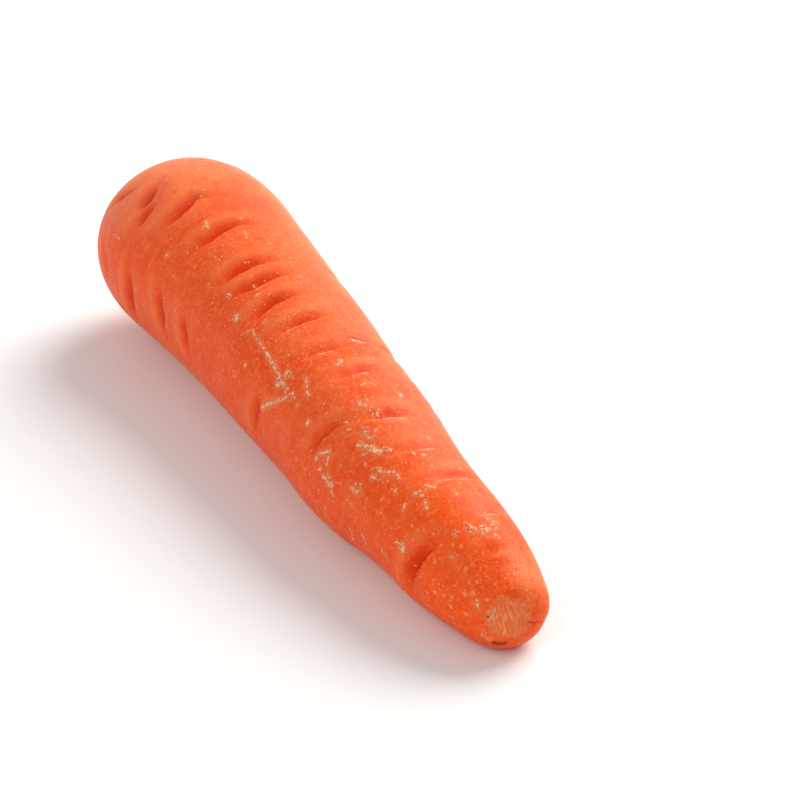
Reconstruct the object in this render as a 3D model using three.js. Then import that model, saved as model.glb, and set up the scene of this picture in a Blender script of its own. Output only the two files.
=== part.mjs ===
// A topped carrot lying on a flat surface, as one solid: rounded shoulder, dished crown with the scar of the cut
// leaf stalks, creased flank, and a blunt end where the thin tail was trimmed off.
// Millimetres, +Z up. The root lies along X, crown at -X and trimmed end at +X, and the origin is on the surface
// under the middle of its box. Angles round the root are in degrees, 0 at +Y and 90 at the top.
import * as THREE from "three";
import { mergeVertices } from "three/addons/utils/BufferGeometryUtils.js";

// Driving dimensions.
const length = 164;
const ringCount = 116;
const ringCrowding = 1.12; // above 1, rings lie closer together at the crown
const sectorCount = 44;
const contactDepth = 0.4; // how far the skin is pressed flat where it rests
const restsFrom = 24; // the underside is straight between these two distances from the crown
const restsTo = 158;
const fullReliefRadius = 10; // creases and swellings fade out where the root is thinner than this
const seed = 158380;

// The crown in section, from its centre out to the rim: radius, and depth below the rim.
const crown = [
  { radius: 0, along: 1.5 },
  { radius: 3, along: 1.5 },
  { radius: 5.6, along: 2.8 },
  { radius: 7.4, along: 1.4 },
  { radius: 9.2, along: 0.2 },
];

// The flank from shoulder to trimmed end: distance from the crown, radius, and the centre's drift towards +Y.
const flank = [
  { along: 0.9, radius: 10.8, drift: -0.2 },
  { along: 3.4, radius: 14, drift: 0.1 },
  { along: 9, radius: 18.5, drift: 0.8 },
  { along: 16, radius: 20.8, drift: 1.4 },
  { along: 24, radius: 21.2, drift: 1.9 },
  { along: 40, radius: 19.9, drift: 2.1 },
  { along: 57, radius: 18.7, drift: 1.6 },
  { along: 74, radius: 17.9, drift: 0.5 },
  { along: 90, radius: 16.8, drift: -0.6 },
  { along: 107, radius: 15.9, drift: -1.6 },
  { along: 124, radius: 14.1, drift: -2.2 },
  { along: 141, radius: 12.7, drift: -1.9 },
  { along: 150, radius: 11.3, drift: -1.2 },
  { along: 158, radius: 9, drift: -0.3 },
  { along: 162, radius: 6.8, drift: 0.2 },
  { along: 163.6, radius: 4, drift: 0.4 },
];

// Creases on the side that shows: place along and round the root, half of the arc they cover, and depth.
const creases = [
  { along: 17.5, around: 176, reach: 16, depth: 0.5 },
  { along: 22, around: 124, reach: 16, depth: 0.7 },
  { along: 25, around: 133, reach: 15, depth: 0.8 },
  { along: 28.7, around: 186, reach: 24, depth: 0.7 },
  { along: 31.5, around: 114, reach: 28, depth: 0.8 },
  { along: 42.5, around: 175, reach: 20, depth: 0.6 },
  { along: 43.5, around: 110, reach: 30, depth: 0.8 },
  { along: 53.2, around: 176, reach: 18, depth: 0.6 },
  { along: 57.5, around: 107, reach: 24, depth: 0.7 },
  { along: 64, around: 108, reach: 30, depth: 0.9 },
  { along: 72, around: 112, reach: 28, depth: 0.8 },
  { along: 80.8, around: 100, reach: 28, depth: 0.7 },
  { along: 86.6, around: 172, reach: 22, depth: 0.6 },
  { along: 91.3, around: 97, reach: 24, depth: 0.6 },
  { along: 101.2, around: 86, reach: 28, depth: 0.6 },
  { along: 110, around: 148, reach: 24, depth: 0.5 },
  { along: 116, around: 86, reach: 24, depth: 0.5 },
  { along: 136, around: 72, reach: 42, depth: 0.7 },
  { along: 145.5, around: 172, reach: 58, depth: 1.1 },
];
const creaseLength = { towardsCrown: 2.4, towardsTip: 1.4 };

// The side turned away has as many creases, spread by a seeded rule, each a draw between these values.
const backCreases = { count: 20, along: [14, 146], around: [230, 400], reach: [14, 36], depth: [0.35, 0.8] };

// Broad swellings and hollows: place along and round, half length, half of the arc, and rise.
const swellings = [
  { along: 108, around: 200, halfLength: 16, reach: 80, rise: 0.8 },
  { along: 130, around: 205, halfLength: 12, reach: 80, rise: -0.7 },
];

// Broad unevenness of the whole root, as shares of the radius: lobes round it, and turns they make end to end.
const lobes = [
  { count: 2, turns: 0.5, share: 0.006, phase: 40 },
  { count: 3, turns: -0.8, share: 0.006, phase: 200 },
];

// Cut leaf stalks in the crown's scar: how many in their circle, its radius, and how far they stand up.
const stalks = { count: 7, circleRadius: 3.6, halfWidth: 1.3, height: 1 };
const scarDepth = 3; // the scar lies within this distance of the crown's rim

// A repeatable draw from 0 to 1.
function makeDraw(start) {
  let state = start;
  return () => {
    state = (state * 16807) % 2147483647;
    return state / 2147483647;
  };
}

// Creases for the side turned away, one in each equal step along the root.
function drawBackCreases() {
  const draw = makeDraw(seed);
  const between = ([low, high], share) => THREE.MathUtils.lerp(low, high, share);
  return Array.from({ length: backCreases.count }, (_, i) => ({
    along: between(backCreases.along, (i + draw()) / backCreases.count),
    around: between(backCreases.around, draw()),
    reach: between(backCreases.reach, draw()),
    depth: between(backCreases.depth, draw()),
  }));
}

const allCreases = [...creases, ...drawBackCreases()];
const radians = THREE.MathUtils.degToRad;

// The shorter way round from one angle to another, in degrees.
function turnBetween(from, to) {
  return THREE.MathUtils.euclideanModulo(to - from + 180, 360) - 180;
}

// 1 in the middle, falling smoothly to 0 at a share of 1 to either side.
function fadeOut(share) {
  return Math.abs(share) >= 1 ? 0 : (1 - share ** 2) ** 2;
}

// A crease drops gently on the crown's side and steeply on the tip's, and fades out towards both ends of its arc.
function creaseDepth(crease, along, around) {
  const off = along - crease.along;
  const run = off < 0 ? creaseLength.towardsCrown : creaseLength.towardsTip;
  const arc = fadeOut(turnBetween(crease.around, around) / crease.reach);
  return crease.depth * arc * Math.exp(-((off / run) ** 2));
}

function swellingRise({ along, around, halfLength, reach, rise }, atAlong, atAround) {
  return rise * fadeOut((atAlong - along) / halfLength) * fadeOut(turnBetween(around, atAround) / reach);
}

function lobeShare({ count, turns, share, phase }, along, around) {
  return share * Math.cos(radians(count * around + phase) + (2 * Math.PI * turns * along) / length);
}

// How far a cut stalk stands up out of the crown at a place given by radius and angle.
function stalkHeight(radius, around) {
  const nearest = Math.round((around * stalks.count) / 360) * (360 / stalks.count);
  const sideways = radius * Math.sin(radians(turnBetween(nearest, around)));
  const outwards = radius - stalks.circleRadius;
  const off = Math.hypot(sideways, outwards) / stalks.halfWidth;
  return stalks.height * Math.exp(-(off ** 4));
}

// The root's rings from the crown's centre to the trimmed end's centre, on one smooth line: radius as x, distance
// along as y, and drift as z.
function makeRings() {
  const shoulder = flank[0];
  const line = new THREE.CatmullRomCurve3([
    ...crown.map(({ radius, along }) => new THREE.Vector3(radius, along, shoulder.drift)),
    ...flank.map(({ radius, along, drift }) => new THREE.Vector3(radius, along, drift)),
    new THREE.Vector3(0, length, flank.at(-1).drift),
  ]);
  line.arcLengthDivisions = 2000;
  return Array.from({ length: ringCount + 1 }, (_, i) => line.getPointAt((i / ringCount) ** ringCrowding));
}

const rings = makeRings();

// The centre's height over the surface: the ring's own radius, held level past the two ends of the straight part.
function centreHeight(along) {
  const bearing = THREE.MathUtils.clamp(along, restsFrom, restsTo);
  const after = rings.findIndex((ring) => ring.y >= bearing);
  const [a, b] = [rings[after - 1], rings[after]];
  return THREE.MathUtils.mapLinear(bearing, a.y, b.y, a.x, b.x) - contactDepth;
}

// The real skin's point for a ring and an angle round the root, with X still measured from the crown.
function skinPoint(ring, around) {
  const { x: radius, y: along, z: drift } = ring;
  const dip = allCreases.reduce((sum, crease) => sum + creaseDepth(crease, along, around), 0);
  const swell = swellings.reduce((sum, swelling) => sum + swellingRise(swelling, along, around), 0);
  const lobe = lobes.reduce((sum, each) => sum + lobeShare(each, along, around), 0);
  const relief = (swell - dip) * Math.min(1, radius / fullReliefRadius);
  const skinRadius = radius * (1 + lobe) + relief;
  const rise = along < scarDepth ? stalkHeight(radius, around) : 0;
  const height = centreHeight(along) + skinRadius * Math.sin(radians(around));
  return new THREE.Vector3(
    along - rise,
    drift + skinRadius * Math.cos(radians(around)),
    Math.max(height, 0),
  );
}

// A turned solid has a seam and a point per sector at each pole: this joins them and drops the empty triangles.
function closeSeams(geometry) {
  geometry.deleteAttribute("normal");
  geometry.deleteAttribute("uv");
  const joined = mergeVertices(geometry, 1e-4);
  const corners = joined.index.array;
  const kept = [];
  for (let i = 0; i < corners.length; i += 3) {
    const [a, b, c] = corners.slice(i, i + 3);
    if (a !== b && b !== c && c !== a) kept.push(a, b, c);
  }
  joined.setIndex(kept);
  return joined;
}

function makeRoot() {
  const profile = rings.map((ring) => new THREE.Vector2(ring.x, ring.y));
  const turned = new THREE.LatheGeometry(profile, sectorCount);
  const position = turned.attributes.position;
  for (let i = 0; i < position.count; i++) {
    const around = (Math.floor(i / rings.length) * 360) / sectorCount;
    const { x, y, z } = skinPoint(rings[i % rings.length], around);
    position.setXYZ(i, x, y, z);
  }
  const geometry = closeSeams(turned);
  geometry.computeVertexNormals();
  geometry.computeBoundingBox();
  const middle = geometry.boundingBox.getCenter(new THREE.Vector3());
  geometry.translate(-middle.x, -middle.y, 0);
  const skin = new THREE.MeshStandardMaterial({ color: 0xf0622e, roughness: 0.5, metalness: 0 });
  const root = new THREE.Mesh(geometry, skin);
  root.name = "carrot";
  return root;
}

const part = new THREE.Group();
part.add(makeRoot());

export default part;
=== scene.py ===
"""A topped carrot on a pale floor: the plain solid gets its creased, corky skin and is set in soft light."""

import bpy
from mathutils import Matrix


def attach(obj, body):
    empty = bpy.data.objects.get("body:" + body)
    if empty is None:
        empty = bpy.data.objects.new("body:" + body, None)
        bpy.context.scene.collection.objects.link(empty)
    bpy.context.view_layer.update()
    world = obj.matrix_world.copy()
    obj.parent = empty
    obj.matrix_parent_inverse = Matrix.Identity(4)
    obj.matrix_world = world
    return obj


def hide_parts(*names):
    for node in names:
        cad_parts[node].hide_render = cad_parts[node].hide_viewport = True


bl_info = {
    "name": "Topped carrot",
    "version": (1, 0, 0),
    "blender": (4, 5, 0),
    "location": "3D View > Sidebar > Carrot",
    "description": "Gives the carrot's plain solid its creased, corky skin and sets it on a pale floor",
    "category": "Object",
}

import math
from functools import partial

import bpy
import numpy as np
from mathutils import Vector
from mathutils.bvhtree import BVHTree

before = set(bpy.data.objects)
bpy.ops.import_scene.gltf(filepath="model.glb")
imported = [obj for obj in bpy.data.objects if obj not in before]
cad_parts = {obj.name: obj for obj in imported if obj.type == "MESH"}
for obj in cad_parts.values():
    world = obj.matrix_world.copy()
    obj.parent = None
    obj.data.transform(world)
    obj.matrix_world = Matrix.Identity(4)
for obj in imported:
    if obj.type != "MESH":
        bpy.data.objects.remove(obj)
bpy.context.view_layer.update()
MM = 0.001

# The photograph's frame, and the camera that stands where its camera stood.
FRAME_PIXELS = 800
VIEW_AZIMUTH = 60.6
VIEW_ELEVATION = 31.1
VIEW_DISTANCE = 620 * MM
VIEW_AIM = Vector((8.1, 12.8, 15.0)) * MM
FOCAL_PIXELS = 2956
SENSOR_MM = 36

# The root's own measures are the distance from the crown in mm, and the angle round it in degrees, 0 at +Y
# and 90 at the top. Its centre is measured at so many places clear of its ends, each on a thin slab, in mm.
ROOT_LENGTH = 164
STATIONS = {"count": 40, "from_crown": 6, "from_tip": 4, "half_slab": 2.2}

# The finer copy of the solid: how near points are joined, in metres, how bent or skewed a quad may be, how
# often all is subdivided, and how near to a mark, in mm, a face is split once more.
JOIN_WITHIN = 1e-6
QUAD_ANGLE = math.radians(60)
SUBDIVISIONS = 2
REFINED_MARGIN = 0.25

# Creases that the photograph shows: a line read off it in pixels, its depth in mm, and how pale its lip is.
CREASES_IN_VIEW = (
    (((190, 254), (200, 246), (210, 240), (220, 232), (230, 227), (240, 223), (255, 223)), 0.5, 0.3),
    (((163, 228), (173, 220), (185, 210), (196, 198), (209, 196)), 0.55, 0.2),
    (((140, 223), (146, 216), (152, 207)), 0.5, 0.1),
    (((141, 207), (150, 199), (156, 188)), 0.6, 0.3),
    (((119, 200), (128, 193)), 0.55, 0.1),
    (((224, 283), (229, 278), (238, 272), (246, 268), (256, 263), (269, 261)), 0.55, 0.5),
    (((232, 297), (245, 291), (256, 286), (270, 278), (287, 273)), 0.5, 0.6),
    (((252, 321), (262, 313), (271, 304), (285, 298), (295, 294)), 0.5, 0.3),
    (((279, 334), (288, 329), (296, 324), (310, 319), (329, 314)), 0.45, 0.9),
    (((130, 277), (131.5, 291), (133, 303), (135, 315)), 0.6, 0.4),
    (((160, 293), (161, 304), (163, 316), (166, 335)), 0.5, 0.5),
    (((184, 322), (186, 338), (188, 350)), 0.5, 0.4),
    (((106, 255), (107, 263), (108, 274)), 0.3, 0.1),
    (((256, 434), (257, 415), (260, 396)), 0.4, 0.3),
    (((306, 357), (318, 352), (332, 349), (345, 345)), 0.35, 1.0),
    (((336, 378), (352, 374), (365, 370), (384, 369)), 0.45, 0.9),
    (((369, 418), (380, 417), (391, 415), (408, 414)), 0.42, 0.8),
    (((411, 592), (412, 582), (414.5, 571), (421, 559.5), (431, 548), (441, 539)), 0.9, 0.4),
    (((437, 480), (450, 477), (460, 476), (468, 476.5), (476, 478)), 0.42, 1.0),
    (((312, 459), (315, 450), (320, 440), (333, 428), (350, 421)), 0.35, 0.2),
    (((400, 451), (412, 449), (433, 448)), 0.26, 0.7),
    (((486, 556), (498, 550), (507, 547)), 0.3, 0.1),
    (((480, 515), (495, 512), (504, 513)), 0.2, 0.6),
    (((526, 622), (535, 623.5)), 0.3, 0.1),
)

# Creases of the hidden side, spread by the solid's own seeded rule, in mm and degrees. Here each also leans
# and bows by a drawn number of mm, and is shallower.
BACK_CREASES = {
    "count": 20,
    "along": (14, 146),
    "around": (230, 400),
    "reach": (14, 36),
    "depth": (0.35, 0.8),
}
BACK_CREASE_FORM = {"points": 9, "lean": 0.8, "bow": 0.7, "depth_share": 0.5, "lip": (0.1, 0.9)}
BACK_SEED = 158380
DRAW_FACTOR = 16807
DRAW_MODULUS = 2147483647

# How a crease falls and rises across its line: a long slope on the crown's side and a short step up to its
# lip, in a broader fold with a low ridge before it. A crease of full depth has all its ridge with its
# painted highlight, and all its painted shade, which reddens and darkens its slope. Slopes, steps, offsets,
# widths, rises, reaches and depths are in mm, ends in degrees past the line's, and the rest are shares and
# powers.
CREASE = {"slope": 1.5, "step": 0.4, "ends": 6, "fullness": 0.6}
FOLD = {"slope": 3.2, "step": 1.0, "ends": 18, "share": 0.6, "within": 14}
RIDGE = {"offset": -3.4, "width": 1.7, "rise": 0.14}
LIP = {"offset": 1.0, "width": 0.7, "rise": 0.16}
# The painted shade that reddens and darkens a crease's slope: its reach in mm, least share and power.
CREASE_SHADE_FORM = {"slope": 2.2, "least": 0.6, "power": 1.3}
# A crease's dark line of painted shade at its step: its reach and its full depth in mm.
SHADE_LINE = {"reach": 2, "full_depth": 0.4}
FULL_DEPTH = 0.5

# Two waves by which a crease's line strays: how wide they are in mm, their pace in radians for each degree
# round the root, and how far the crease's depth or lip shifts them.
WOBBLE = {"wide": 0.1, "pace": 0.5, "shift": 40}
RIPPLE = {"wide": 0.04, "pace": 1.7, "shift": 30}

# Where a crease's dark line of painted shade and its pale lip, paler skin with a painted highlight, start
# and are full, from both sides, in mm from the line.
PAINTED_SHADE_LINE_EDGES = ((0.3, 0.1), (-1.1, -0.1))
PALE_LIP_EDGES = ((0.15, 0.4), (1.3, 0.6))

# Farther off, in mm or in widths, than anything that a crease or a mark draws.
FAR = 9.0

# Faint growth wrinkles all over: arcs round the root, in mm and degrees. Their tilt is in mm per degree,
# and they end so many widths from their line.
WRINKLES = {
    "count": 170,
    "along": (8, 158),
    "reach": (8, 34),
    "depth": (0.03, 0.1),
    "width": (0.3, 0.7),
    "tilt": 0.012,
    "cut_off": 4,
    "seed": 11,
}

# The crown's scar, in mm: how deep its rim and the whole of it reach, its radius, how far beyond that its
# share falls to nothing, and how far it is followed.
SCAR = {"rim": 2, "deep": 4, "radius": 8.6, "fade": 2, "beyond": 4, "seed": 5}

# Low rings in the scar, where its share is over the least one, and the waves by which they wander: how much
# in radians, how many times round, and where they start in degrees.
SCAR_RINGS = {"spacing": 0.9, "rise": 0.05, "least": 0.05}
SCAR_WANDER = ((0.6, 3, 0), (0.4, 7, 50))

# Rings of cut leaf stalks: how many there are, the radius of their circle, half their width, how many times
# longer they are round the circle, how far they stand up, lengths in mm, and how many degrees they stray.
STALK_RINGS = (
    {"count": 7, "circle": 3.6, "half_width": 1.0, "long": 1.4, "rise": 0.15, "uneven": 0},
    {"count": 9, "circle": 6.1, "half_width": 0.6, "long": 2.4, "rise": 0.35, "uneven": 14},
    {"count": 8, "circle": 7.9, "half_width": 0.35, "long": 4.5, "rise": 0.25, "uneven": 20},
    {"count": 1, "circle": 0.0, "half_width": 1.0, "long": 1.0, "rise": 0.3, "uneven": 0},
)

# Shares between which a stalk's size and strength are drawn, how many mm it leaves its circle for each
# degree that it may stray, and how sharp its edge is.
STALK_SIZES = (0.8, 1.2)
STALK_STRENGTHS = (0.6, 1)
STALK_SHIFT = 0.02
STALK_EDGE = 3

# Corky scratches: a line read off the photograph in pixels, half its width in mm, and its strength.
SCRATCHES_IN_VIEW = (
    (((253, 333), (261, 344), (268, 356)), 0.22, 0.7),
    (((267, 354), (272, 363), (277, 371), (280, 378)), 0.38, 0.9),
    (((281, 380), (284, 385), (288, 389)), 0.36, 0.7),
    (((274, 384), (278, 379), (280, 385)), 0.2, 0.6),
    (((262, 408), (271, 403), (279, 400)), 0.36, 1.0),
    (((280, 400), (287, 397)), 0.3, 0.8),
    (((290, 394), (295, 399)), 0.3, 0.6),
    (((306, 378), (307, 386)), 0.26, 0.9),
    (((307, 386), (307, 392), (310, 397)), 0.2, 0.75),
    (((108, 230), (113, 234), (120, 239)), 0.18, 0.45),
    (((205.5, 221), (207.5, 228)), 0.25, 0.8),
    (((244, 231), (246.5, 238)), 0.18, 0.6),
    (((253, 284), (257, 290), (261, 287)), 0.15, 0.6),
    (((241, 335), (249, 331), (255, 329)), 0.15, 0.5),
    (((262, 323), (267, 322)), 0.3, 0.4),
    (((343, 422), (347, 421)), 0.2, 0.6),
    (((336, 436), (343, 432), (351, 429)), 0.25, 0.4),
    (((361, 432), (368, 432)), 0.2, 0.7),
    (((362, 428), (368, 428)), 0.25, 0.5),
    (((363, 437), (369, 438), (376, 438)), 0.28, 0.6),
    (((375, 429), (377, 434)), 0.3, 0.6),
    (((357, 446), (364, 446), (371, 448)), 0.38, 1.0),
    (((371, 447), (376, 451), (382, 452)), 0.55, 0.9),
    (((383, 448), (391, 450)), 0.36, 0.7),
    (((363, 455), (370, 451)), 0.2, 0.5),
    (((371, 469), (380, 468)), 0.25, 0.5),
    (((377, 471), (385, 472), (394, 472)), 0.22, 0.8),
    (((371, 477), (375, 478)), 0.3, 1.0),
    (((378, 480), (388, 481)), 0.2, 0.5),
    (((395, 474), (399, 476), (398, 479)), 0.25, 0.8),
    (((313, 461), (316.5, 456), (316.5, 461)), 0.2, 0.6),
    (((318, 454), (324, 453), (331, 450)), 0.28, 0.8),
    (((330, 452), (328, 459), (326, 465)), 0.25, 0.7),
    (((318, 470), (322, 468)), 0.25, 0.5),
    (((323, 475), (328, 482), (331, 487)), 0.3, 0.9),
    (((328, 474), (331, 480), (333, 487)), 0.22, 0.7),
    (((331, 489), (333, 495)), 0.2, 0.7),
    (((353, 487), (356, 484), (361, 484)), 0.24, 0.5),
    (((353, 488), (354, 492), (358, 492), (361, 489)), 0.26, 0.8),
    (((403, 511), (405, 504)), 0.22, 0.7),
    (((419, 449), (426, 449), (433, 448)), 0.3, 0.6),
    (((411, 452), (414, 454)), 0.25, 0.5),
    (((426, 485), (431, 487), (436, 488)), 0.35, 0.8),
    (((414, 493), (419, 496), (423, 495)), 0.35, 0.7),
    (((427, 500), (425, 504), (427, 508)), 0.3, 0.8),
    (((477, 601), (477.5, 605), (479, 609)), 0.2, 0.8),
    (((485, 518), (491, 521), (498, 524)), 0.3, 0.8),
    (((437, 481), (445, 478.5), (452, 477.5)), 0.2, 0.7),
    (((455, 477), (464, 477.5), (472, 478.5)), 0.26, 0.75),
    (((481, 516), (489, 514.5), (496, 514)), 0.2, 0.6),
    (((495, 534), (499, 538)), 0.25, 0.7),
    (((450, 558), (456, 556)), 0.2, 0.6),
    (((481, 634), (487, 638), (492, 642)), 0.2, 0.6),
    (((498, 602), (493, 612), (491, 628)), 0.3, 0.4),
    (((361, 385), (368, 382), (374, 385)), 0.2, 0.7),
    (((350, 339), (357, 340.5), (364, 342.5)), 0.28, 0.85),
    (((316, 354.5), (323, 352.5), (331, 351)), 0.24, 0.85),
    (((353, 374.5), (360, 373.5), (366, 372.5)), 0.3, 0.9),
    (((286, 330), (292, 327.5), (297, 326)), 0.2, 0.6),
    (((384, 417.5), (395, 419), (406, 420)), 0.26, 0.9),
    (((396, 541), (404, 552)), 0.3, 0.4),
    (((349, 525), (352, 533), (354, 541)), 0.3, 0.45),
    (((361, 531), (364, 538), (366, 544)), 0.25, 0.45),
    (((320, 462), (321, 472), (324, 480)), 0.3, 0.45),
    (((382, 550), (388, 558)), 0.3, 0.45),
)

# Corky dots and rough patches: centre in pixels, radius in mm, and strength.
PATCHES_IN_VIEW = (
    ((236, 318), 1.0, 0.65),
    ((228, 295), 0.7, 0.5),
    ((257, 295), 0.5, 0.6),
    ((167, 255), 0.36, 1.0),
    ((157, 251), 0.3, 0.6),
    ((241, 218), 0.3, 0.7),
    ((299, 277), 0.3, 0.9),
    ((287, 374), 0.9, 0.7),
    ((277, 384), 0.9, 0.4),
    ((292, 395), 0.7, 0.5),
    ((245, 365), 0.35, 0.7),
    ((308, 423), 0.55, 1.0),
    ((298, 405), 0.3, 0.6),
    ((338, 362), 1.5, 0.4),
    ((401, 395), 0.7, 0.55),
    ((363, 403), 1.2, 0.45),
    ((374, 411), 1.3, 0.4),
    ((423, 455), 0.5, 0.6),
    ((429, 458), 0.35, 0.6),
    ((352, 504), 0.4, 0.6),
    ((395, 491), 0.4, 0.6),
    ((429, 438), 0.35, 0.7),
    ((398, 443), 0.35, 0.5),
    ((326, 509), 0.35, 0.6),
    ((326, 515), 0.35, 0.6),
    ((419, 494), 0.9, 0.5),
    ((455, 494), 0.4, 0.7),
    ((433, 469), 0.7, 0.35),
    ((477, 530), 0.7, 0.55),
    ((470, 531), 0.5, 0.5),
    ((455, 533), 0.7, 0.5),
    ((402, 547), 0.9, 0.65),
    ((365, 464), 0.4, 0.5),
    ((484, 529), 1.3, 0.42),
    ((494, 527), 1.0, 0.4),
    ((469, 526), 1.0, 0.4),
)

# Round, smooth, paler breathing pores near the tip: centre in pixels and radius in mm.
PORES_IN_VIEW = (
    ((465, 594), 0.55),
    ((473, 593), 0.5),
    ((452, 597), 0.4),
    ((487, 600), 0.4),
    ((466, 614), 0.45),
    ((451, 607), 0.45),
    ((477, 582), 0.4),
    ((469, 582), 0.35),
    ((453, 545), 0.4),
    ((461, 546), 0.4),
    ((466, 569), 0.45),
    ((433, 580), 0.4),
    ((435, 562), 0.4),
    ((422, 563), 0.3),
    ((435, 592), 0.45),
    ((428, 605), 0.4),
    ((453, 618), 0.4),
    ((444, 596), 0.4),
    ((412, 526), 0.4),
    ((412, 568), 0.35),
)

# A dark slit in the skin: its line in pixels, and half its width and its depth in mm.
DARK_SLIT = {"line": ((349, 337), (356, 338.5), (364, 341)), "width": 0.25, "depth": 0.25}

# The trimmed end shows as a dull round patch, with a bruise under it and a dark pit beside it: centres in
# pixels, and radii and depths in mm.
TRIMMED_END = {"spot": (511, 619), "radius": 5.6, "depth": 0.3, "fullness": 0.7}
BRUISE_DEPTH = 0.15
BRUISE_SPOTS = (
    ((494, 643), 1.0),
    ((497, 643.5), 1.1),
    ((501, 644), 0.9),
    ((505, 643), 0.7),
    ((488, 617), 0.4),
)

# Marks of the hidden side, of the same kinds as those in view, in mm and degrees. A scratch turns so many
# degrees and leans by a drawn number of mm for each mm of its length.
BACK_SCRATCHES = {
    "count": 34,
    "along": (12, 150),
    "around": (232, 392),
    "lean": 0.8,
    "length": (1, 5),
    "turn": 2.5,
    "width": (0.15, 0.4),
    "strength": (0.4, 1),
}
BACK_PATCHES = {
    "count": 40,
    "along": (8, 158),
    "around": (228, 395),
    "radius": (0.3, 1.1),
    "strength": (0.4, 0.8),
}
BACK_PORES = {"count": 30, "along": (60, 158), "around": (225, 395), "radius": (0.3, 0.5)}
CORK_SEED = 7
PORE_SEED = 8

# How far a mark is followed from its line and past its ends, in mm, and round the root, in degrees, and how
# far cork and pores stand up in mm.
MARK_REACH = 1.6
MARK_END = 0.5
MARK_TURN = 50
CORK_RISE = 0.09
PORE_RISE = 0.06

# The height above the floor, in mm, from which the skin has all its relief. Lower down it lies flatter.
FULL_RELIEF_HEIGHT = 1.5

# What refine_skin stores at the skin's points for the material.
SKIN_FIELDS = (
    "crease",
    "crease_shade_line",
    "crease_lip",
    "crease_off",
    "crease_ridge_highlight",
    "cork",
    "cork_off",
    "pore",
    "pore_off",
    "trimmed",
    "bruise",
    "scar",
    "stalks",
)

# Noise in the skin: the width of its lumps in mm, its detail, and how far it is drawn out along X, Y and Z.
# Nearly all of it lies within NOISE_RANGE.
NOISE_RANGE = (0.2, 0.8)
GRAINS = {
    "fine": (0.3, 3, (1, 1, 1)),
    "crumbs": (0.45, 3, (1, 1, 1)),
    "small": (0.8, 3, (1, 1, 1)),
    "mottle": (2.4, 3, (1, 1, 1)),
    "crowding": (9, 2, (1, 1, 1)),
    "blotches": (13, 2, (1, 1, 1)),
    "rings": (0.9, 2, (0.6, 8, 8)),
    "streaks": (1.2, 2, (7, 1, 1)),
    "strands": (0.4, 3, (1, 1, 5)),
}

# Strewn specks: the width of a speck's cell in mm, its radius as a share of that, the share of cells that
# have one, and how far they are drawn out along X, Y and Z.
SPECKS = {
    "dust": (1.0, 0.26, 1, (1, 1, 1)),
    "dots": (3.2, 0.13, 0.35, (1, 1, 1)),
    "dashes": (0.9, 0.22, 0.12, (1, 3.5, 3.5)),
    "flecks": (1.0, 0.2, 0.1, (3.5, 1, 1)),
}
SPECK_STRENGTHS = (0.3, 1)
SPECK_SIZES = (0.5, 1.2)

# Where broad changes of colour and roughness start and where they are full, along X, Y or Z.
SMOOTHER_CROWN = (-75 * MM, -20 * MM)
FEWER_SPECKS = (-120 * MM, -20 * MM)
NEAR_TIP = (30 * MM, 75 * MM)
# Painted shade darkens and reddens the side away from the key light, and a painted highlight pales the side
# towards it.
PAINTED_SHADE_AWAY_FROM_LIGHT = (-3 * MM, -17 * MM)
PAINTED_HIGHLIGHT_TOWARDS_LIGHT = (6 * MM, 18 * MM)
# Painted shade darkens the skin close to the floor.
PAINTED_SHADE_NEAR_FLOOR = (7 * MM, 1 * MM)

# Painted highlights: paler patches on top of the shoulder and of the tip, each with the same two places
# along X, Y and Z.
PAINTED_HIGHLIGHT_SHOULDER = ((-35 * MM, -78 * MM), (-30 * MM, -18 * MM), (20 * MM, 36 * MM))
PAINTED_HIGHLIGHT_TIP = ((68 * MM, 76 * MM), (-5 * MM, 1 * MM), (8 * MM, 18 * MM))
SMOOTH = {"interpolation_type": "SMOOTHSTEP"}

# The stage: the way to each light, as shares to the camera's right, ahead of it and up, its distance and its
# width in metres, the floor's width in metres, its paper's fibres in mm, and the camera's nearest sight.
KEY = {"right": 0.5, "ahead": 0.6, "up": 0.62, "distance": 0.9, "size": 0.8}
FILL = {"right": -0.7, "ahead": -0.7, "up": 0.7, "distance": 1.0, "size": 0.9}
FLOOR_WIDTH = 6
PAPER_FIBRE = 1.5
NEAREST_SEEN = 10 * MM


def linear(hex_text):
    """An sRGB colour such as "EB6232" as linear red, green, blue and alpha."""
    shares = (int(hex_text[i : i + 2], 16) / 255 for i in (0, 2, 4))
    return tuple(s / 12.92 if s <= 0.04045 else ((s + 0.055) / 1.055) ** 2.4 for s in shares) + (1.0,)


def colour_property(name, description, hex_text):
    return bpy.props.FloatVectorProperty(
        name=name, description=description, default=linear(hex_text), size=4, min=0, max=1, subtype="COLOR"
    )


def share_property(name, description, share):
    return bpy.props.FloatProperty(name=name, description=description, default=share, subtype="FACTOR")


def power_property(name, description, power):
    return bpy.props.FloatProperty(
        name=name, description=description, default=power, unit="POWER", subtype="POWER"
    )


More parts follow.
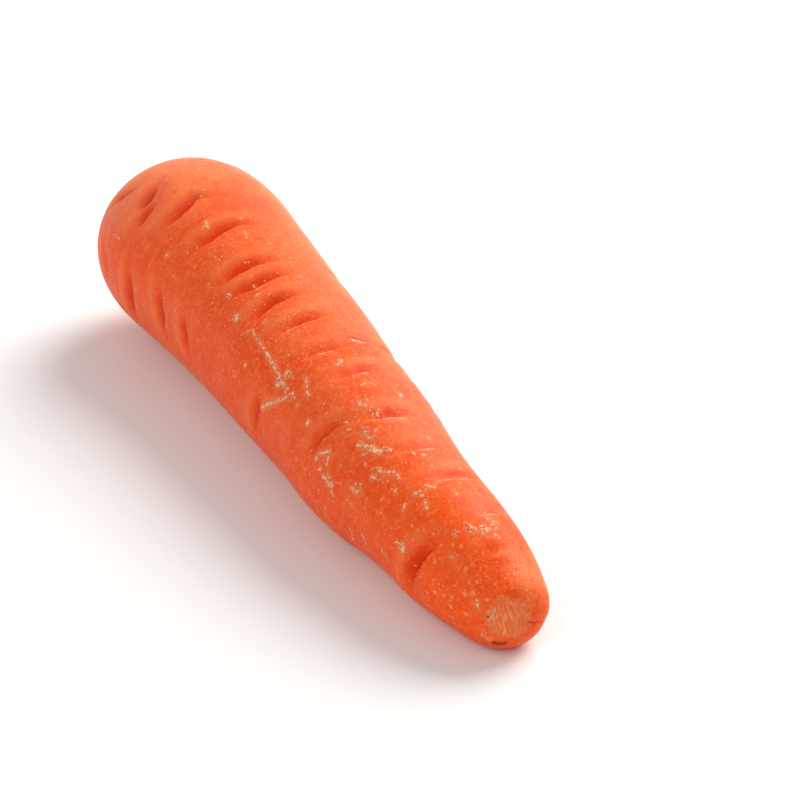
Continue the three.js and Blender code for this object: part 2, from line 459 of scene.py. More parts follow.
class CarrotSkinSettings(bpy.types.PropertyGroup):
    """What a user would change on the carrot's skin."""

    relief: share_property("Relief", "How deep creases and wrinkles are, as a share", 1.0)
    flesh: colour_property("Flesh", "The skin's main orange", "EE6632")
    # Deep: also the colour of the painted shade on the side away from the light.
    deep: colour_property("Deep", "The redder orange of patches", "E8460E")
    tip: colour_property("Tip", "The yellower orange near the trimmed end", "F45606")
    # Crease: the colour of the painted shade in the creases and near the floor, and of the dark grain.
    crease: colour_property("Crease", "Red orange in the creases", "DA3000")
    # Gap: the colour of the painted shade line at each crease's step, and of the dark gaps in the trimmed
    # end.
    gap: colour_property("Gap", "The dark line at a crease's step", "B42A00")
    # Lip: also the colour of the painted highlights on the lit side, the tip, and the crease ridges and
    # lips.
    lip: colour_property("Lip", "Paler skin on a crease's lip", "F88C52")
    # Cork: also the colour of the painted highlight on the shoulder.
    cork: colour_property("Cork", "Dry, corky marks", "FFC8A0")
    bark: colour_property("Bark", "The shaded edges of corky marks", "B0602C")
    trimmed: colour_property("Trimmed end", "Dried, cut flesh", "EE824C")
    bruise: colour_property("Bruise", "A dark, dried spot", "6E1E0A")
    shoulder: colour_property("Shoulder", "Sunned skin round the scar of the leaf stalks", "B9742E")
    crown: colour_property("Crown", "Dried scar of the leaf stalks", "6A4722")
    stalk: colour_property("Stalks", "Cut leaf stalks", "AE9560")


class CarrotStageSettings(bpy.types.PropertyGroup):
    """What a user would change on the floor and the light."""

    floor: colour_property("Floor", "The floor's colour", "F4F3F1")
    key_power: power_property("Key light", "Power of the large soft light", 11.2)
    fill_power: power_property("Fill light", "Power of the weaker light opposite", 3.5)
    glow: share_property("Even light", "Strength of the even light all round", 0.42)


def deselect_all():
    bpy.ops.object.select_all(action="DESELECT")


def make_active(piece):
    deselect_all()
    piece.select_set(True)
    bpy.context.view_layer.objects.active = piece


def coordinates(piece):
    """The mesh's points in mm, one row each."""
    flat = np.empty(len(piece.data.vertices) * 3)
    piece.data.vertices.foreach_get("co", flat)
    return flat.reshape(-1, 3) / MM


def set_coordinates(piece, points):
    piece.data.vertices.foreach_set("co", (points * MM).ravel())
    piece.data.update()


def normals(piece):
    flat = np.empty(len(piece.data.vertices) * 3)
    piece.data.vertex_normals.foreach_get("vector", flat)
    return flat.reshape(-1, 3)


def view_axes():
    """The camera's right, up and back, and its place."""
    azimuth, elevation = math.radians(VIEW_AZIMUTH), math.radians(VIEW_ELEVATION)
    right = Vector((math.cos(azimuth), math.sin(azimuth), 0))
    level = math.cos(elevation)
    back = Vector((math.sin(azimuth) * level, -math.cos(azimuth) * level, math.sin(elevation)))
    return right, back.cross(right), back, VIEW_AIM + back * VIEW_DISTANCE


def turn_between(start, end):
    """The shorter way round from one angle to another, in degrees."""
    return (end - start + 180) % 360 - 180


def fade(share):
    """1 in the middle, falling smoothly to 0 at a share of 1 to either side."""
    return np.clip(1 - np.square(share), 0, None) ** 2


class RootMeasures:
    """Turns points on the root into its own measures, and pixels of the photograph into points on it."""

    def __init__(self, piece):
        points = coordinates(piece)
        self.tip = points[:, 0].max()
        first, last = points[:, 0].min() + STATIONS["from_crown"], self.tip - STATIONS["from_tip"]
        self.stations = np.linspace(first, last, STATIONS["count"])
        slabs = [points[abs(points[:, 0] - x) < STATIONS["half_slab"]] for x in self.stations]
        self.centres = np.array([(slab.max(0) + slab.min(0)) / 2 for slab in slabs])
        faces = [tuple(face.vertices) for face in piece.data.polygons]
        self.tree = BVHTree.FromPolygons([tuple(p) for p in points], faces)

    def place(self, points):
        """Distance from the crown, angle round the root and radius there, for points in mm."""
        middle_y = np.interp(points[:, 0], self.stations, self.centres[:, 1])
        middle_z = np.interp(points[:, 0], self.stations, self.centres[:, 2])
        off_y, off_z = points[:, 1] - middle_y, points[:, 2] - middle_z
        along = points[:, 0] - self.tip + ROOT_LENGTH
        return along, np.degrees(np.arctan2(off_z, off_y)) % 360, np.hypot(off_y, off_z)

    def seen_at(self, pixel):
        """The point of the root, in mm, that a pixel of the photograph shows."""
        right, up, back, eye = view_axes()
        across, down = ((count - FRAME_PIXELS / 2) / FOCAL_PIXELS for count in pixel)
        hit = self.tree.ray_cast(eye / MM, right * across - up * down - back)[0]
        if hit is None:
            raise RuntimeError(f"pixel {pixel} isn't on the root")
        return hit

    def line_in_view(self, pixels):
        """Places along and round the root for a line of pixels."""
        along, around, _ = self.place(np.array([self.seen_at(pixel) for pixel in pixels]))
        return along, around


def drawn_back_creases():
    """The hidden side's creases, drawn in the solid's own order: along, around, reach and depth."""
    state = BACK_SEED

    def draw(low, high):
        nonlocal state
        state = state * DRAW_FACTOR % DRAW_MODULUS
        return low + (high - low) * state / DRAW_MODULUS

    low, high = BACK_CREASES["along"]
    step = (high - low) / BACK_CREASES["count"]
    for i in range(BACK_CREASES["count"]):
        along = low + (i + draw(0, 1)) * step
        yield along, *(draw(*BACK_CREASES[key]) for key in ("around", "reach", "depth"))


def all_creases(measures, rng):
    """Every crease: angles round the root, the distance along it at each, its slopes past both ends, its
    depth and its lip."""
    for line, depth, lip in CREASES_IN_VIEW:
        along, around = measures.line_in_view(line)
        order = np.argsort(around)
        around, along = around[order], along[order]
        slopes = np.diff(along) / np.diff(around)
        yield around, along, (slopes[0], slopes[-1]), depth, lip
    form = BACK_CREASE_FORM
    share = np.linspace(-1, 1, form["points"])
    for middle, turn, reach, depth in drawn_back_creases():
        along = middle + rng.normal(0, form["lean"]) * share + rng.normal(0, form["bow"]) * share**2
        yield turn + reach * share, along, (0, 0), depth * form["depth_share"], rng.uniform(*form["lip"])


def waver(turned, shift, form):
    """How far a line strays along the root at each angle, in mm."""
    return form["wide"] * np.sin(turned * form["pace"] + shift * form["shift"])


def crease_profile(off, depth):
    """A crease at distances from its line, towards the tip: its groove, its lip, its slope of painted shade,
    the broad fold and the ridge before it, which also carries a painted highlight, all from 0 to 1."""
    groove = np.exp(-np.square(off / np.where(off < 0, CREASE["slope"], CREASE["step"])))
    rim = np.exp(-np.square((off - LIP["offset"]) / LIP["width"]))
    shade_slope = CREASE_SHADE_FORM["slope"] * (CREASE_SHADE_FORM["least"] + depth)
    before = np.exp(-np.abs(off / shade_slope) ** CREASE_SHADE_FORM["power"])
    red = np.where(off < 0, before, np.exp(-np.square(off / CREASE["step"])))
    fold = np.exp(-np.square(off / np.where(off < 0, FOLD["slope"], FOLD["step"])))
    ridge = np.exp(-np.square((off - RIDGE["offset"]) / RIDGE["width"]))
    return groove, rim, red, fold, ridge * min(1, depth / FULL_DEPTH)


def crease_fields(along, around, measures, rng):
    """What the creases give each point: its change of height, and a field each for their painted shade,
    which reddens the slope, their dark line of painted shade, their pale lip, which is paler skin with a
    painted highlight, distance from the line, towards the tip, and their ridge's painted highlight."""
    height, painted_crease_shade, line, lips, ridge_highlights = (np.zeros(len(along)) for _ in range(5))
    line_off = np.full(len(along), FAR)
    for angles, distances, slopes, depth, lip in all_creases(measures, rng):
        middle, half = (angles[0] + angles[-1]) / 2, (angles[-1] - angles[0]) / 2
        turn = turn_between(middle, around)
        beside = abs(along - distances.mean()) < FOLD["within"]
        near = np.flatnonzero((abs(turn) < half + FOLD["ends"]) & beside)
        turned = turn[near] + middle
        before, after = np.minimum(turned - angles[0], 0), np.maximum(turned - angles[-1], 0)
        line_along = np.interp(turned, angles, distances) + before * slopes[0] + after * slopes[1]
        off = along[near] - line_along - waver(turned, depth, WOBBLE) - waver(turned, lip, RIPPLE)
        groove, rim, red, fold, ridge = crease_profile(off, depth)
        strength = fade(np.minimum(abs(turn[near]) / (half + CREASE["ends"]), 1)) ** CREASE["fullness"]
        broad = fade(turn[near] / (half + FOLD["ends"])) ** CREASE["fullness"]
        height[near] += strength * (LIP["rise"] * rim - depth * groove) + broad * RIDGE["rise"] * ridge
        height[near] -= broad * FOLD["share"] * depth * fold
        ridge_highlights[near] = np.maximum(ridge_highlights[near], broad * ridge)
        painted_crease_shade[near] = np.maximum(painted_crease_shade[near], strength * red * min(1, depth / FULL_DEPTH))
        closer = abs(off) < abs(line_off[near])
        chosen = near[closer]
        line_off[chosen] = off[closer]
        faded = strength * np.clip(1 - abs(off) / SHADE_LINE["reach"], 0, 1)
        line[chosen] = (faded * min(1, depth / SHADE_LINE["full_depth"]))[closer]
        lips[chosen] = (faded * lip)[closer]
    return height, {
        "crease": painted_crease_shade,
        "crease_shade_line": line,
        "crease_lip": lips,
        "crease_off": line_off,
        "crease_ridge_highlight": ridge_highlights,
    }


def wrinkle_height(along, around):
    """Faint growth wrinkles, each an arc round the root."""
    rng = np.random.default_rng(WRINKLES["seed"])
    height = np.zeros(len(along))
    for _ in range(WRINKLES["count"]):
        at, turn = rng.uniform(*WRINKLES["along"]), rng.uniform(0, 360)
        reach, depth, width = (rng.uniform(*WRINKLES[key]) for key in ("reach", "depth", "width"))
        tilt = rng.normal(0, WRINKLES["tilt"])
        share = turn_between(turn, around) / reach
        off = along - at - tilt * share * reach
        near = (abs(share) < 1) & (abs(off) < WRINKLES["cut_off"] * width)
        height[near] -= depth * fade(share[near]) * np.exp(-np.square(off[near] / width))
    return height


def off_line(along, arc, line_along, line_arc):
    """Distance sideways from a line on skin laid flat, signed by the side, and distance past its ends."""
    nearest, sideways, beyond = (np.full(len(along), np.inf) for _ in range(3))
    for i in range(len(line_along) - 1):
        step_along, step_arc = line_along[i + 1] - line_along[i], line_arc[i + 1] - line_arc[i]
        length = math.hypot(step_along, step_arc)
        off_along, off_arc = along - line_along[i], arc - line_arc[i]
        way = (off_along * step_along + off_arc * step_arc) / length
        past = way - np.clip(way, 0, length)
        side = (off_along * step_arc - off_arc * step_along) / length
        distance = np.hypot(side, past)
        closer = distance < nearest
        nearest = np.where(closer, distance, nearest)
        sideways = np.where(closer, side, sideways)
        beyond = np.where(closer, abs(past), beyond)
    return sideways, beyond


def mark_fields(along, around, radius, strokes):
    """The nearest mark at each point: its strength there, the signed distance from its line as a share of
    half its width, and the distance from its edge in mm."""
    strength_here, share_here = np.zeros(len(along)), np.full(len(along), FAR)
    best = np.full(len(along), np.inf)
    for distances, angles, width, strength in strokes:
        first, last = distances.min() - MARK_REACH, distances.max() + MARK_REACH
        near = np.flatnonzero((along > first) & (along < last))
        near = near[abs(turn_between(angles.mean(), around[near])) < MARK_TURN]
        arc = np.radians(turn_between(angles[0], around[near])) * radius[near]
        if len(distances) == 1:
            off, beyond = np.hypot(along[near] - distances[0], arc), np.zeros(len(near))
        else:
            line_arc = np.radians(turn_between(angles[0], angles)) * np.median(radius[near])
            off, beyond = off_line(along[near], arc, distances, line_arc)
        edge = np.hypot(off, beyond) - width
        closer = edge < np.minimum(best[near], MARK_REACH - width)
        chosen = near[closer]
        best[chosen] = edge[closer]
        share_here[chosen] = off[closer] / width
        faded = np.clip(1 - beyond / MARK_END, 0, 1) * np.clip(1 - edge / (MARK_REACH - width), 0, 1)
        strength_here[chosen] = (strength * faded)[closer]
    return strength_here, share_here, best


def cork_marks(measures):
    """Corky scratches and patches: distances along, angles round, half width and strength."""
    for line, width, strength in SCRATCHES_IN_VIEW:
        yield *measures.line_in_view(line), width, strength
    for spot, radius, strength in PATCHES_IN_VIEW:
        yield *measures.line_in_view((spot,)), radius, strength
    rng = np.random.default_rng(CORK_SEED)
    form = BACK_SCRATCHES
    for _ in range(form["count"]):
        along, around = (rng.uniform(*form[key]) for key in ("along", "around"))
        lean = rng.normal(0, form["lean"])
        length, width, strength = (rng.uniform(*form[key]) for key in ("length", "width", "strength"))
        ends = np.array([0, length])
        yield along + lean * ends, around + form["turn"] * ends, width, strength
    for _ in range(BACK_PATCHES["count"]):
        along, around = (rng.uniform(*BACK_PATCHES[key], 1) for key in ("along", "around"))
        yield along, around, rng.uniform(*BACK_PATCHES["radius"]), rng.uniform(*BACK_PATCHES["strength"])


def pore_marks(measures):
    """Breathing pores, in view and on the hidden side."""
    for spot, radius in PORES_IN_VIEW:
        yield *measures.line_in_view((spot,)), radius, 1.0
    rng = np.random.default_rng(PORE_SEED)
    for _ in range(BACK_PORES["count"]):
        along, around = (rng.uniform(*BACK_PORES[key], 1) for key in ("along", "around"))
        yield along, around, rng.uniform(*BACK_PORES["radius"]), 1.0


def refine_near_marks(piece, measures):
    """Splits the faces at every mark in four, so that its small relief has enough points."""
    along, around, radius = measures.place(coordinates(piece))
    edge = mark_fields(along, around, radius, [*cork_marks(measures), *pore_marks(measures)])[2]
    corners = np.empty(len(piece.data.loops), dtype=int)
    piece.data.loops.foreach_get("vertex_index", corners)
    close = (edge < REFINED_MARGIN)[corners.reshape(-1, 4)].any(axis=1)
    bpy.context.tool_settings.mesh_select_mode = (False, False, True)
    piece.data.polygons.foreach_set("select", close)
    make_active(piece)
    bpy.ops.object.mode_set(mode="EDIT")
    bpy.ops.mesh.subdivide(number_cuts=1)
    bpy.ops.object.mode_set(mode="OBJECT")


def crown_fields(points, along):
    """The scar's share and its cut stalks' share at each point, and how far stalks and rings stand up."""
    rim = points[along < SCAR["rim"]]
    middle = (rim.max(0) + rim.min(0)) / 2
    off_y, off_z = points[:, 1] - middle[1], points[:, 2] - middle[2]
    radius, angle = np.hypot(off_y, off_z), np.degrees(np.arctan2(off_z, off_y)) % 360
    near = (along < SCAR["deep"]) & (radius < SCAR["radius"] + SCAR["beyond"])
    scar = np.where(near, 1 - radius / (SCAR["radius"] + SCAR["fade"]), -1)
    stalks, rise = np.zeros(len(points)), np.zeros(len(points))
    rng = np.random.default_rng(SCAR["seed"])
    for ring in STALK_RINGS:
        for i in range(ring["count"]):
            turn = turn_between(i * 360 / ring["count"] + rng.uniform(-1, 1) * ring["uneven"], angle)
            circle = ring["circle"] + rng.uniform(-STALK_SHIFT, STALK_SHIFT) * ring["uneven"]
            sideways = np.where(abs(turn) < 90, radius * np.sin(np.radians(turn)), radius)
            long, half_width = (ring[key] * rng.uniform(*STALK_SIZES) for key in ("long", "half_width"))
            off = np.hypot(sideways / long, radius - circle) / half_width
            share = np.exp(-(off**STALK_EDGE)) * near
            rise += ring["rise"] * share
            stalks = np.maximum(stalks, share * rng.uniform(*STALK_STRENGTHS))
    wander = sum(wide * np.sin(np.radians(count * angle + shift)) for wide, count, shift in SCAR_WANDER)
    ripple = np.sin(2 * math.pi * radius / SCAR_RINGS["spacing"] + wander)
    rise += SCAR_RINGS["rise"] * ripple * near * (scar > SCAR_RINGS["least"])
    return scar, stalks, rise


def spot_field(points, centre, radius):
    """1 at a point on the skin, falling smoothly to 0 at a radius from it."""
    return fade(np.linalg.norm(points - np.array(centre), axis=1) / radius)


def store(piece, name, values):
    attribute = piece.data.attributes.new(name, "FLOAT", "POINT")
    attribute.data.foreach_set("value", values.astype(np.float32))


def finer_copy():
    """A copy of the plain solid, its points joined, its faces made quads, and subdivided."""
    piece = bpy.data.objects.new("carrot_skin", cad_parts["carrot"].data.copy())
    bpy.context.scene.collection.objects.link(piece)
    piece.data.name = "carrot_skin"
    piece.data.materials.clear()
    make_active(piece)
    bpy.ops.object.mode_set(mode="EDIT")
    bpy.ops.mesh.select_all(action="SELECT")
    bpy.ops.mesh.remove_doubles(threshold=JOIN_WITHIN)
    bpy.ops.mesh.tris_convert_to_quads(face_threshold=QUAD_ANGLE, shape_threshold=QUAD_ANGLE)
    bpy.ops.mesh.select_all(action="DESELECT")
    bpy.ops.object.mode_set(mode="OBJECT")
    smooth = piece.modifiers.new("finer", "SUBSURF")
    smooth.levels = smooth.render_levels = SUBDIVISIONS
    bpy.ops.object.modifier_apply(modifier=smooth.name)
    return piece


def refine_skin(relief):
    """The skin: a finer copy of the solid, with creases, wrinkles and marks moved into its points."""
    piece = finer_copy()
    measures = RootMeasures(piece)
    refine_near_marks(piece, measures)
    points, outward = coordinates(piece), normals(piece)
    along, around, radius = measures.place(points)
    height, fields = crease_fields(along, around, measures, np.random.default_rng(BACK_SEED))
    height += wrinkle_height(along, around)
    for name, marks, rise in (("cork", cork_marks, CORK_RISE), ("pore", pore_marks, PORE_RISE)):
        strength, off, _ = mark_fields(along, around, radius, [*marks(measures)])
        height += rise * strength * np.exp(-np.square(off))
        fields |= {name: strength, name + "_off": off}

    slit_line = (*measures.line_in_view(DARK_SLIT["line"]), DARK_SLIT["width"], 1.0)
    slit, slit_off, _ = mark_fields(along, around, radius, [slit_line])
    slit *= np.exp(-np.square(slit_off))
    bruises = [spot_field(points, measures.seen_at(spot), reach) for spot, reach in BRUISE_SPOTS]
    bruise = np.maximum.reduce([*bruises, slit])
    from_cut = np.linalg.norm(points - np.array(measures.seen_at(TRIMMED_END["spot"])), axis=1)
    trimmed = 1 - from_cut / TRIMMED_END["radius"]
    scar, stalks, crown_rise = crown_fields(points, along)
    height += crown_rise - DARK_SLIT["depth"] * slit - BRUISE_DEPTH * bruise
    height -= TRIMMED_END["depth"] * np.clip(trimmed, 0, 1) ** TRIMMED_END["fullness"]
    height *= relief * np.clip(points[:, 2] / FULL_RELIEF_HEIGHT, 0, 1)
    set_coordinates(piece, points + outward * height[:, None])

    fields |= {"trimmed": trimmed, "bruise": bruise, "scar": scar, "stalks": stalks}
    for name in SKIN_FIELDS:
        store(piece, name, fields[name])
    bpy.ops.object.shade_smooth()
    return piece


def add_node(tree, kind, inputs=(), output=0, **settings):
    """Adds a shader node with its settings, gives inputs values or links, and returns one of its outputs."""
    node = tree.nodes.new("ShaderNode" + kind)
    for name, value in settings.items():
        setattr(node, name, value)
    for socket, value in inputs.items() if isinstance(inputs, dict) else enumerate(inputs):
        if isinstance(value, bpy.types.NodeSocket):
            tree.links.new(value, node.inputs[socket])
        else:
            node.inputs[socket].default_value = value
    return node.outputs[output] if node.outputs else None


def new_material(name):
    material = bpy.data.materials.new(name)
    material.use_nodes = True
    material.node_tree.nodes.clear()
    return material, partial(add_node, material.node_tree)


def pushed(add, value, noise, amount):
    """A value pushed up and down by noise, so that an edge drawn at it is ragged."""
    push = add("MapRange", (noise, *NOISE_RANGE, -amount, amount), **SMOOTH)
    return add("Math", (value, push), operation="ADD")


def pattern_scale(size, stretch):
    """How often a pattern of a size in mm repeats in a metre along X, Y and Z."""
    return tuple(1 / (size * MM * share) for share in stretch)


def strewn(add, place, specks, crowd=1.0):
    """Specks strewn over the skin, at most one to a cell, and fewer where crowd is lower."""
    cell, radius, share, stretch = specks
    mapped = add("Mapping", {"Vector": place, "Scale": pattern_scale(cell, stretch)})
    distance = add("TexVoronoi", {"Vector": mapped, "Scale": 1.0})
    draws = add("SeparateColor", (distance.node.outputs["Color"],)).node.outputs
    draw_chance, draw_strength, draw_size = draws
    chance = add("Math", (crowd, share), operation="MULTIPLY")
    chosen = add("Math", (draw_chance, chance), operation="LESS_THAN")
    strength = add("MapRange", (draw_strength, 0, 1, *SPECK_STRENGTHS))
    size = add("MapRange", (draw_size, 0, 1, *SPECK_SIZES))
    reach = add("Math", (distance, size), operation="DIVIDE")
    body = add("MapRange", (reach, radius, radius / 2, 0, strength), **SMOOTH)
    return add("Math", (chosen, body), operation="MULTIPLY")


def noises(add, place):
    """Every noise of GRAINS, by its name."""
    grain = {}
    for name, (lump, detail, stretch) in GRAINS.items():
        mapped = add("Mapping", {"Vector": place, "Scale": pattern_scale(lump, stretch)})
        grain[name] = add("TexNoise", {"Vector": mapped, "Scale": 1.0, "Detail": detail})
    return grain


def crowding(add, end_to_end, field, grain):
    """How thickly specks and fine grain lie: in drifts, fewer towards the crown, and most round cork."""
    crowd = add("MapRange", (grain["crowding"], 0.42, 0.58, 0.25, 0.7), **SMOOTH)
    crowd = add("MapRange", (end_to_end, *FEWER_SPECKS, 0, crowd), **SMOOTH)
    return add("Math", (crowd, field["cork"]), operation="MAXIMUM")


def crease_shares(add, field, grain):
    """A crease's dark line of painted shade and its pale lip, paler skin with a painted highlight, both a
    little ragged, by their distance from the line in mm.
    """
    off = pushed(add, field["crease_off"], grain["small"], 0.12)
    line = add("MapRange", (field["crease_shade_line"], 0.4, 1, 0, 1), **SMOOTH)
    for edge in PAINTED_SHADE_LINE_EDGES:
        line = add("MapRange", (off, *edge, 0, line), **SMOOTH)
    lip = add("MapRange", (grain["fine"], 0.15, 0.5, 0, field["crease_lip"]), **SMOOTH)
    for edge in PALE_LIP_EDGES:
        lip = add("MapRange", (off, *edge, 0, lip), **SMOOTH)
    return line, lip


def cork_shares(add, field, grain):
    """The pale crumbs of corky marks, and the dark pits between them."""
    off = add("Math", (field["cork_off"],), operation="ABSOLUTE")
    strength = pushed(add, field["cork"], grain["small"], 0.4)
    area = add("MapRange", (strength, 0.2, 0.6, 0, 1), **SMOOTH)
    area = add("MapRange", (pushed(add, off, grain["fine"], 0.6), 1.3, 0.7, 0, area), **SMOOTH)
    crumbs = add("MapRange", (grain["crumbs"], 0.38, 0.54, 0, area), **SMOOTH)
    pits = add("MapRange", (grain["crumbs"], 0.48, 0.36, 0, area), **SMOOTH)
    return crumbs, pits


def trimmed_shares(add, field, grain):
    """The dried cut, its pale strands and the dark gaps between them."""
    cut = pushed(add, pushed(add, field["trimmed"], grain["small"], 0.1), grain["mottle"], 0.2)
    cut = add("MapRange", (cut, 0, 0.4, 0, 1), **SMOOTH)
    pale = add("MapRange", (grain["strands"], 0.5, 0.66, 0, cut), **SMOOTH)
    dark = add("MapRange", (grain["strands"], 0.48, 0.34, 0, cut), **SMOOTH)
    return cut, pale, dark


def scar_shares(add, field, grain):
    """The crown's scar with its pale and dark grain, and the cut stalks in it with their dark grain."""
    scar = pushed(add, pushed(add, field["scar"], grain["small"], 0.04), grain["mottle"], 0.08)
    scar = add("MapRange", (scar, 0, 0.32, 0, 1), **SMOOTH)
    pale = add("MapRange", (grain["small"], 0.48, 0.7, 0, scar), **SMOOTH)
    dark = add("MapRange", (grain["crumbs"], 0.5, 0.38, 0, scar), **SMOOTH)
    stalks = pushed(add, field["stalks"], grain["fine"], 0.3)
    stalks = add("MapRange", (stalks, 0.2, 0.7, 0, 1), **SMOOTH)
    stalk_dark = add("MapRange", (grain["crumbs"], 0.52, 0.36, 0, stalks), **SMOOTH)
    return scar, pale, dark, stalks, stalk_dark


def painted_highlight_patch(add, ways, reaches):
    """A painted highlight: a patch that is full where X, Y and Z have all passed the second of their two
    places.
    """
    patch = 1.0
    for way, reach in zip(ways, reaches):
        patch = add("MapRange", (way, *reach, 0, patch), **SMOOTH)
    return patch


def carrot_skin_material(settings):
    """Raw carrot skin, washed: moist translucent flesh under a thin skin gives a soft sheen and a glow of
    its own colour, and it is dry, pale and dull where cork has healed a nick. Painted shade reddens and
    darkens its creases, the side away from the light and the skin near the floor, and painted highlights
    pale the side towards the light, the tops of the shoulder and the tip, and the ridges and lips of
    creases."""
    material, add = new_material("washed_carrot_skin")
    place = add("TexCoord", output="Object")
    ways = add("SeparateXYZ", (place,)).node.outputs
    end_to_end, side_to_side, above_floor = ways
    field = {name: add("Attribute", output="Fac", attribute_name=name) for name in SKIN_FIELDS}
    grain = noises(add, place)

    # The skin is smoother near the crown, so its unevenness is evened out towards there.
    rough = add("MapRange", (end_to_end, *SMOOTHER_CROWN, 0.65, 1), **SMOOTH)
    fine, small, mottle = (
        add("MapRange", (rough, 0, 1, 0.5, grain[name])) for name in ("fine", "small", "mottle")
    )
    crowd = crowding(add, end_to_end, field, grain)
    fine_dark = add("MapRange", (fine, 0.5, 0.28, 0, crowd), **SMOOTH)
    fine_pale = add("MapRange", (fine, 0.54, 0.75, 0, crowd), **SMOOTH)

    # Painted highlights on top of the shoulder and of the tip.
    painted_shoulder_highlight, painted_tip_highlight = painted_highlight_patch(add, ways, PAINTED_HIGHLIGHT_SHOULDER), painted_highlight_patch(add, ways, PAINTED_HIGHLIGHT_TIP)
    line, lip = crease_shares(add, field, grain)
    crumbs, pits = cork_shares(add, field, grain)
    pore = add("MapRange", (field["pore_off"], 1.2, 0.6, 0, field["pore"]), **SMOOTH)
    dots, dashes, flecks = (strewn(add, place, SPECKS[name]) for name in ("dots", "dashes", "flecks"))
    dust = strewn(add, place, SPECKS["dust"], crowd)
    cut, cut_pale, cut_dark = trimmed_shares(add, field, grain)
    scar, scar_pale, scar_dark, stalks, stalk_dark = scar_shares(add, field, grain)
    bruise = add("MapRange", (grain["small"], 0.25, 0.6, 0, field["bruise"]), **SMOOTH)

    # Each layer: what it is drawn by, where that starts and is full, its colour, and how much it covers.
    layers = (
        (grain["blotches"], 0.4, 0.65, settings.deep, 0.5),
        # Painted shade on the side away from the light.
        (side_to_side, *PAINTED_SHADE_AWAY_FROM_LIGHT, settings.deep, 0.5),
        # Painted highlight on the side towards the light.
        (side_to_side, *PAINTED_HIGHLIGHT_TOWARDS_LIGHT, settings.lip, 0.42),
        (end_to_end, *NEAR_TIP, settings.tip, 0.75),
        # Painted highlights on the shoulder and the tip.
        (painted_shoulder_highlight, 0, 1, settings.cork, 0.2),
        (painted_tip_highlight, 0, 1, settings.lip, 0.5),
        # Painted shade near the floor.
        (above_floor, *PAINTED_SHADE_NEAR_FLOOR, settings.crease, 0.4),
        (mottle, 0.5, 0.72, settings.lip, 0.2),
        (mottle, 0.48, 0.3, settings.deep, 0.5),
        (small, 0.5, 0.7, settings.lip, 0.35),
        (small, 0.46, 0.3, settings.deep, 0.55),
        (fine_dark, 0, 1, settings.crease, 0.7),
        (fine_pale, 0, 1, settings.cork, 0.4),
        (grain["rings"], 0.56, 0.75, settings.lip, 0.14),
        (grain["streaks"], 0.58, 0.78, settings.deep, 0.3),
        # Painted highlight on the ridge before each crease.
        (field["crease_ridge_highlight"], 0, 1, settings.lip, 0.32),
        # Painted shade: the creases' slopes reddened and darkened.
        (field["crease"], 0.1, 1, settings.crease, 0.88),
        # Painted shade: the dark line at each crease's step.
        (line, 0, 1, settings.gap, 0.4),
        # The pale lip: paler skin, and a painted highlight where the step catches the light.
        (lip, 0, 1, settings.lip, 0.95),
        (dots, 0, 1, settings.lip, 0.7),
        (dust, 0, 1, settings.cork, 0.6),
        (dashes, 0, 1, settings.cork, 0.5),
        (flecks, 0, 1, settings.cork, 0.4),
        (pore, 0, 1, settings.lip, 0.75),
        (field["cork"], 0.1, 1, settings.lip, 0.45),
        (pits, 0, 1, settings.bark, 0.5),
        (crumbs, 0, 1, settings.cork, 0.9),
        (cut, 0, 1, settings.trimmed, 0.55),
        (cut_pale, 0, 1, settings.cork, 0.36),
        (cut_dark, 0, 1, settings.gap, 0.2),
        (field["scar"], -0.3, 0.1, settings.shoulder, 0.5),
        (scar, 0, 1, settings.crown, 0.85),
        (scar_pale, 0, 1, settings.stalk, 0.28),
        (scar_dark, 0, 1, settings.bruise, 0.4),
        (stalks, 0, 1, settings.stalk, 0.85),
        (stalk_dark, 0, 1, settings.crown, 0.75),
        (bruise, 0.05, 0.5, settings.bruise, 0.8),
    )
    colour = settings.flesh
    for source, start, full, tint, amount in layers:
        share = add("MapRange", (source, start, full, 0, amount), **SMOOTH)
        colour = add("Mix", {0: share, 6: colour, 7: tint}, output=2, data_type="RGBA")

    # Moist skin shines a little, and whatever has dried is duller.
    dry = add("Math", (crumbs, cut), operation="MAXIMUM")
    dry = add("Math", (dry, scar), operation="MAXIMUM")
    roughness = pushed(add, add("MapRange", (dry, 0, 1, 0.42, 0.75)), grain["mottle"], 0.06)

    # Each lump: what it is drawn by, and how high it stands against the others.
    lumps = (
        (fine, 0.5),
        (small, 1),
        (crumbs, 1.8),
        (dust, 0.6),
        (dashes, 0.6),
        (grain["rings"], 0.6),
        (cut_pale, 0.6),
    )
    height = 0.0
    for share, rise in lumps:
        height = add("Math", (share, rise, height), operation="MULTIPLY_ADD")
    bump = add("Bump", {"Height": height, "Strength": 0.8, "Distance": 0.15 * MM})
    shader = add(
        "BsdfPrincipled",
        {
            "Base Color": colour,
            "Roughness": roughness,
            "IOR": 1.42,
            "Specular IOR Level": 0.12,
            "Subsurface Weight": 0.25,
            "Subsurface Radius": (1.0, 0.35, 0.12),
            "Subsurface Scale": 1.8 * MM,
            "Normal": bump,
        },
    )
    add("OutputMaterial", {"Surface": shader})
    return material


def floor_material(colour):
    """Matt white paper, rolled out: an even pale ground with no sheen."""
    material, add = new_material("matt_paper")
    place = add("TexCoord", output="Object")
    fibres = add("TexNoise", {"Vector": place, "Scale": 1 / (PAPER_FIBRE * MM), "Detail": 3.0})
    bump = add("Bump", {"Height": fibres, "Strength": 0.03, "Distance": 0.1 * MM})
    shader = add("BsdfPrincipled", {"Base Color": colour, "Roughness": 0.9, "Normal": bump})
    add("OutputMaterial", {"Surface": shader})
    return material


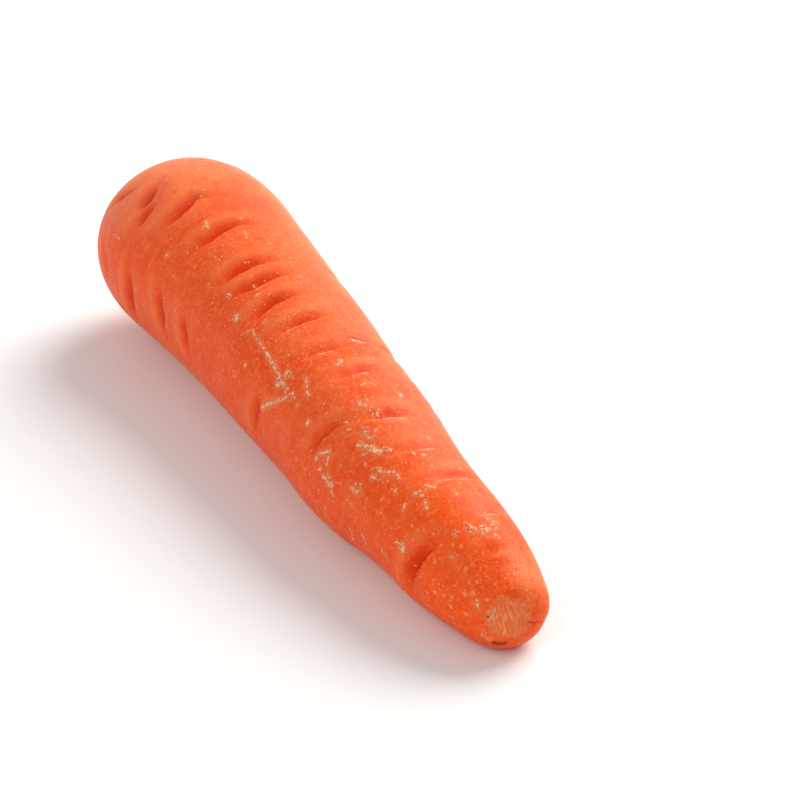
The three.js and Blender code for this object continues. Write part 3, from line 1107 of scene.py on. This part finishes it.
def add_soft_light(name, form, power):
    """A round, soft light that shines at the root's middle, from a side given as the camera sees it."""
    right, _, back, _ = view_axes()
    ahead = -Vector((back.x, back.y, 0))
    away = right * form["right"] + ahead * form["ahead"] + Vector((0, 0, form["up"]))
    away.normalize()
    turn = away.to_track_quat("Z", "Y").to_euler()
    bpy.ops.object.light_add(type="AREA", location=VIEW_AIM + away * form["distance"], rotation=turn)
    bpy.context.object.name = name
    light = bpy.context.object.data
    light.shape = "DISK"
    light.size = form["size"]
    light.energy = power


class CARROT_OT_skin(bpy.types.Operator):
    """Makes the carrot's finely creased skin around its plain solid"""

    bl_idname = "carrot.skin"
    bl_label = "Skin"

    def execute(self, context):
        settings = context.scene.carrot_skin
        skin = refine_skin(settings.relief)
        skin.data.materials.append(carrot_skin_material(settings))
        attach(skin, "root")
        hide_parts("carrot")
        return {"FINISHED"}


class CARROT_OT_stage(bpy.types.Operator):
    """Makes the pale floor, the soft light and the camera"""

    bl_idname = "carrot.stage"
    bl_label = "Stage"

    def execute(self, context):
        settings = context.scene.carrot_stage
        deselect_all()
        bpy.ops.mesh.primitive_plane_add(size=FLOOR_WIDTH)
        floor = context.object
        floor.name = "floor"
        floor.data.materials.append(floor_material(settings.floor))

        _, _, back, eye = view_axes()
        bpy.ops.object.camera_add(location=eye, rotation=back.to_track_quat("Z", "Y").to_euler())
        camera = context.object
        camera.data.sensor_width = SENSOR_MM
        camera.data.lens = SENSOR_MM * FOCAL_PIXELS / FRAME_PIXELS
        camera.data.clip_start = NEAREST_SEEN
        context.scene.camera = camera

        add_soft_light("key", KEY, settings.key_power)
        add_soft_light("fill", FILL, settings.fill_power)

        world = bpy.data.worlds.new("studio")
        context.scene.world = world
        world.use_nodes = True
        world.node_tree.nodes.clear()
        glow = add_node(world.node_tree, "Background", {"Color": (1, 1, 1, 1), "Strength": settings.glow})
        add_node(world.node_tree, "OutputWorld", {"Surface": glow})
        context.scene.view_settings.view_transform = "Standard"
        return {"FINISHED"}


class CARROT_PT_panel(bpy.types.Panel):
    """Lists the steps that make the carrot"""

    bl_label = "Carrot"
    bl_space_type = "VIEW_3D"
    bl_region_type = "UI"
    bl_category = "Carrot"

    def draw(self, context):
        scene = context.scene
        for step, settings in ((CARROT_OT_skin, scene.carrot_skin), (CARROT_OT_stage, scene.carrot_stage)):
            box = self.layout.box()
            for name in settings.__annotations__:
                box.prop(settings, name)
            box.operator(step.bl_idname)


CLASSES = (CarrotSkinSettings, CarrotStageSettings, CARROT_OT_skin, CARROT_OT_stage, CARROT_PT_panel)


def register():
    for each in CLASSES:
        bpy.utils.register_class(each)
    bpy.types.Scene.carrot_skin = bpy.props.PointerProperty(type=CarrotSkinSettings)
    bpy.types.Scene.carrot_stage = bpy.props.PointerProperty(type=CarrotStageSettings)


def unregister():
    del bpy.types.Scene.carrot_stage
    del bpy.types.Scene.carrot_skin
    for each in reversed(CLASSES):
        bpy.utils.unregister_class(each)


def main():
    register()
    bpy.ops.carrot.skin()
    bpy.ops.carrot.stage()


if __name__ == "__main__":
    main()
